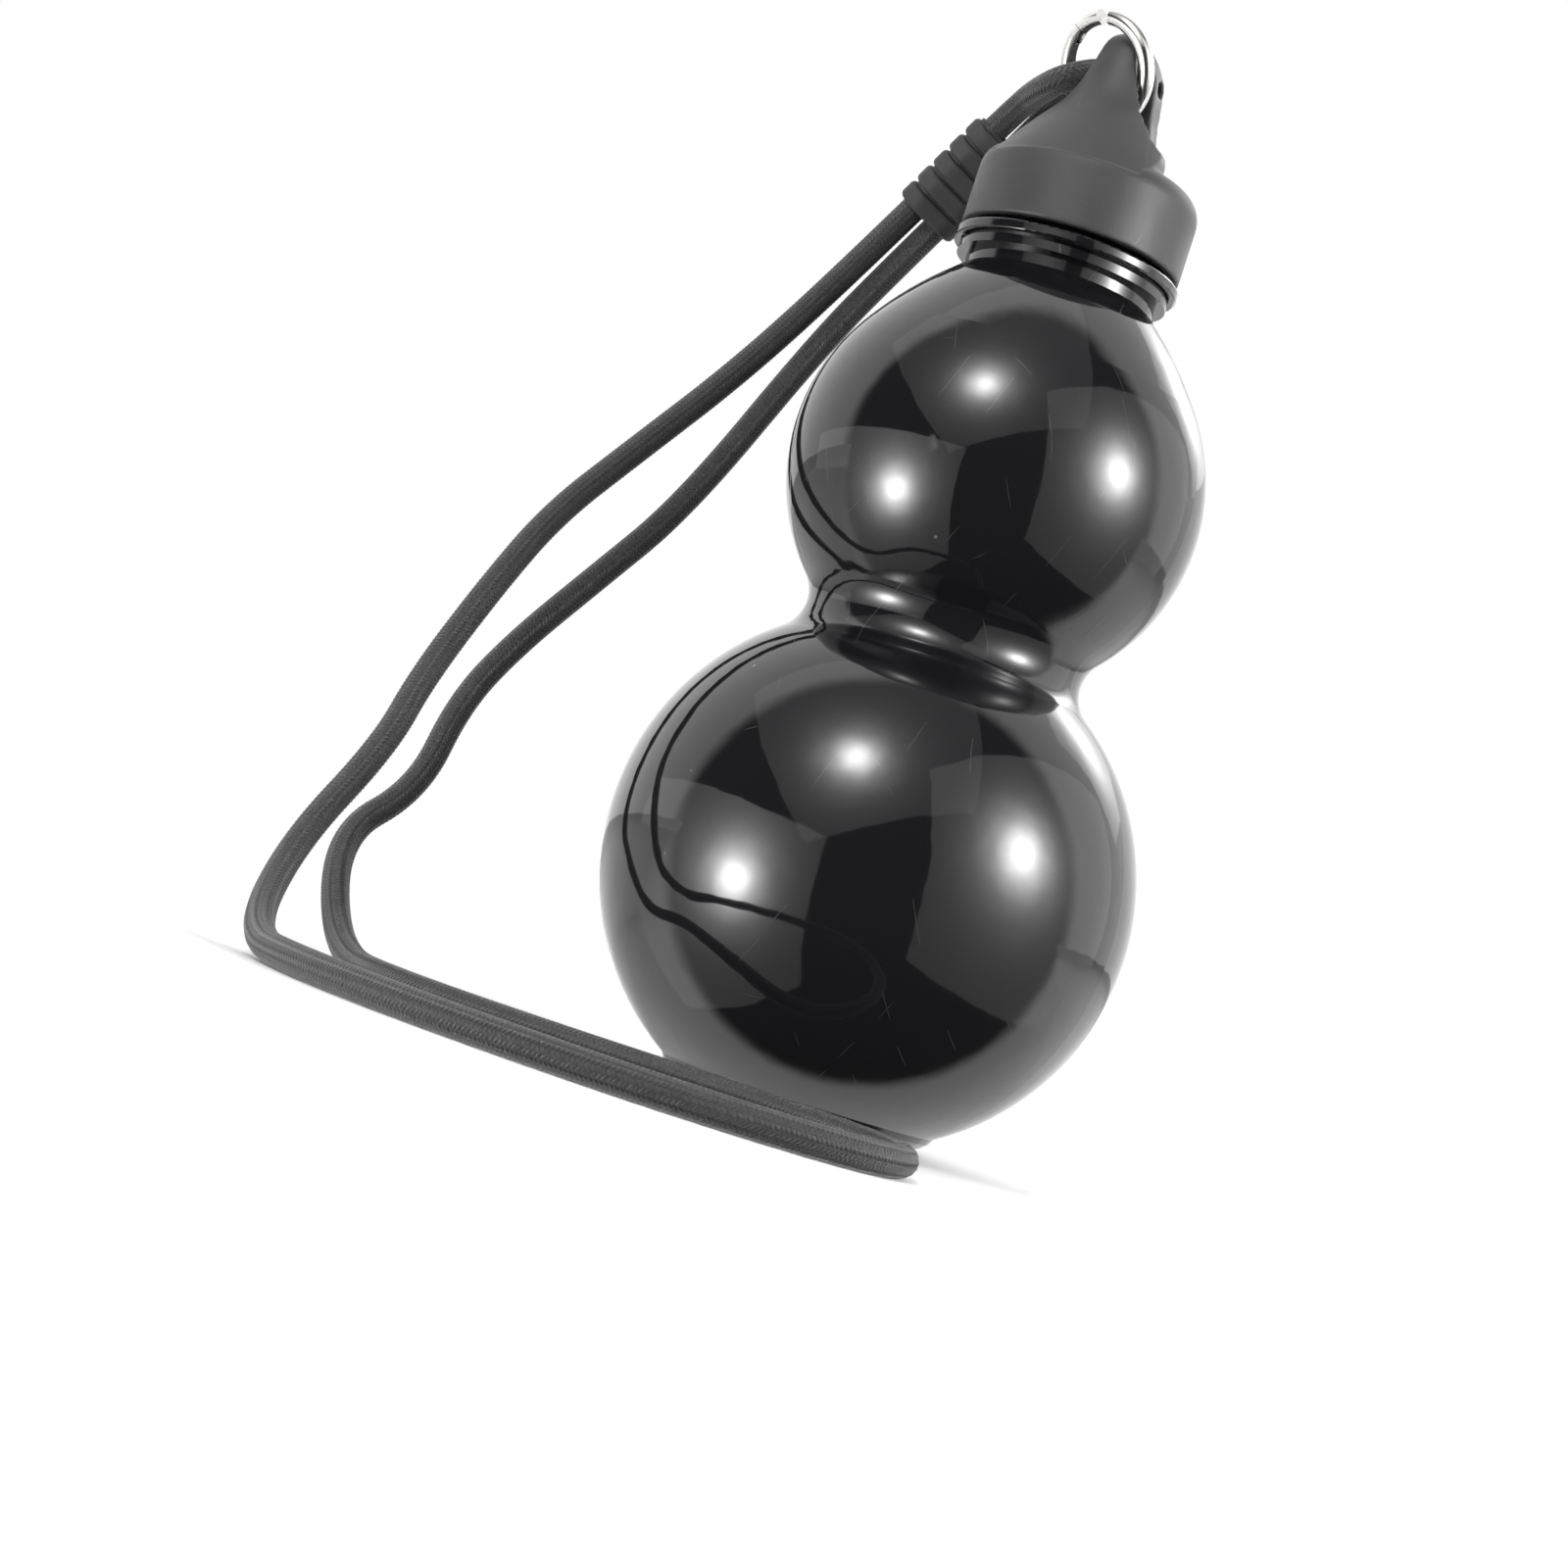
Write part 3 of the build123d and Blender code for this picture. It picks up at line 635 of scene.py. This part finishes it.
# Floor, backdrop and lamps
behind = camera_right.cross(camera_up) * -1
half_floor = 4.0
floor_mesh = bpy.data.meshes.new("floor")
corners = [(half_floor * x, half_floor * y, 0) for x, y in ((-1, -1), (1, -1), (1, 1), (-1, 1))]
floor_mesh.from_pydata(corners, [], [(0, 1, 2, 3)])
floor = bpy.data.objects.new("floor", floor_mesh)
bpy.context.scene.collection.objects.link(floor)


def make_floor_white():
    """Pale floor, plain white in the picture farther off; in front of the object only the camera sees it."""
    material, tree, shader, where = finish_of(
        "floor_white", Base_Color=floor_pale, Roughness=0.6, Specular_IOR_Level=0.1)
    seen = put(tree, "ShaderNodeLightPath").outputs["Is Camera Ray"]
    distance = vector_calc(tree, "LENGTH", where).outputs["Value"]
    far = ramp(tree, distance, 0.16, 0.45)
    white = put(tree, "ShaderNodeEmission", {"Color": plain_white, "Strength": 1.0})
    plain = calc(tree, "MULTIPLY", far, seen)
    swept = put(tree, "ShaderNodeMixShader", {0: plain, 1: shader.outputs[0], 2: white.outputs[0]})
    ahead = vector_calc(tree, "DOT_PRODUCT", where, behind).outputs["Value"]
    solid = calc(tree, "MAXIMUM", seen, ramp(tree, ahead, -0.04, 0.03))
    clear = put(tree, "ShaderNodeBsdfTransparent")
    mixed = put(tree, "ShaderNodeMixShader", {0: solid, 1: clear.outputs[0], 2: swept.outputs[0]})
    tree.links.new(mixed.outputs[0], tree.nodes["Material Output"].inputs["Surface"])
    return material


floor.data.materials.append(make_floor_white())

world = bpy.data.worlds.new("studio")
bpy.context.scene.world = world
world.use_nodes = True
sky = world.node_tree
heading = put(sky, "ShaderNodeTexCoord").outputs["Generated"]
facing = vector_calc(sky, "DOT_PRODUCT", heading, behind).outputs["Value"]
in_picture = put(sky, "ShaderNodeLightPath").outputs["Is Camera Ray"]
room = blend_colours(sky, ramp(sky, facing, 0.0, 0.16), room_dark, backdrop_light)
backdrop = blend_colours(sky, in_picture, room, plain_white)
sky.links.new(backdrop, sky.nodes["Background"].inputs["Color"])


def make_lamp(name, place, aim, size, roll, middle, glow, heart, reach):
    """Soft box with a bright glow.

    Its middle and its glow are set off from the place, in its own plane, and roll turns its rim in
    degrees. The heart is the glow's strength and reach the glow's radius in metres.
    """
    width, height = size
    halo_share = 0.12
    panel_share = 0.014
    facing_turn = (Vector(aim) - Vector(place)).to_track_quat("-Z", "Y")
    rim_turn = Quaternion((0, 0, 1), radians(roll))
    glow_spot = rim_turn.inverted() @ Vector((glow[0] - middle[0], glow[1] - middle[1], 0.0))
    data = bpy.data.lights.new(name, "AREA")
    data.shape = "RECTANGLE"
    data.size = width
    data.size_y = height
    data.energy = pi * width * height
    data.use_nodes = True
    tree = data.node_tree
    spot = put(tree, "ShaderNodeNewGeometry").outputs["Parametric"]
    half = 0.5
    glow_share = (half + glow_spot.x / width, half + glow_spot.y / height, 0.0)
    centred = vector_calc(tree, "SUBTRACT", spot, glow_share).outputs[0]
    flat = vector_calc(tree, "MULTIPLY", centred, (width / reach, height / reach, 0.0)).outputs[0]
    away = vector_calc(tree, "LENGTH", flat).outputs["Value"]
    fall = calc(tree, "ADD", calc(tree, "MULTIPLY", away, away), 1.0)
    core = calc(tree, "DIVIDE", heart, calc(tree, "MULTIPLY", fall, fall))
    halo = calc(tree, "DIVIDE", heart * halo_share, fall)
    strength = calc(tree, "ADD", calc(tree, "ADD", core, halo), heart * panel_share)
    tree.links.new(strength, tree.nodes["Emission"].inputs["Strength"])
    lamp = bpy.data.objects.new(name, data)
    bpy.context.scene.collection.objects.link(lamp)
    lamp.rotation_euler = (facing_turn @ rim_turn).to_euler()
    lamp.location = Vector(place) + facing_turn @ Vector((middle[0], middle[1], 0.0))
    lamp.visible_camera = False


upper_lobe = (0, 0, 0.13)
waist = (0, 0, 0.12)
lamps = {
    "lamp_top": {
        "place": (-0.09, -0.62, 0.70), "aim": upper_lobe, "size": (1.6, 1.65), "roll": 45,
        "middle": (0.09, 0.37), "glow": (0.10, -0.04), "heart": 20.0, "reach": 0.135},
    "lamp_left": {
        "place": (-0.44, -0.52, 0.10), "aim": waist, "size": (1.45, 1.35), "roll": 0,
        "middle": (-0.05, -0.58), "glow": (0.13, -0.24), "heart": 26.0, "reach": 0.135},
    "lamp_right": {
        "place": (0.62, -0.06, 0.27), "aim": upper_lobe, "size": (1.7, 1.3), "roll": 0,
        "middle": (0.35, -0.06), "glow": (0.03, 0.05), "heart": 26.0, "reach": 0.13},
    "lamp_back": {
        "place": (0.15, 0.95, 0.75), "aim": waist, "size": (0.6, 0.6), "roll": 0,
        "middle": (0, 0), "glow": (0, 0), "heart": 6.0, "reach": 0.2},
}
for name, settings in lamps.items():
    make_lamp(name, **settings)

lens = bpy.data.cameras.new("camera")
lens.sensor_fit = "HORIZONTAL"
lens.sensor_width = sensor_width
lens.lens = focal_length
lens.clip_start = 0.01
lens.clip_end = 50.0
camera = bpy.data.objects.new("camera", lens)
bpy.context.scene.collection.objects.link(camera)
turned = Matrix((camera_right, camera_up, camera_right.cross(camera_up))).transposed()
camera.matrix_world = Matrix.Translation(camera_place) @ turned.to_4x4()
bpy.context.scene.camera = camera
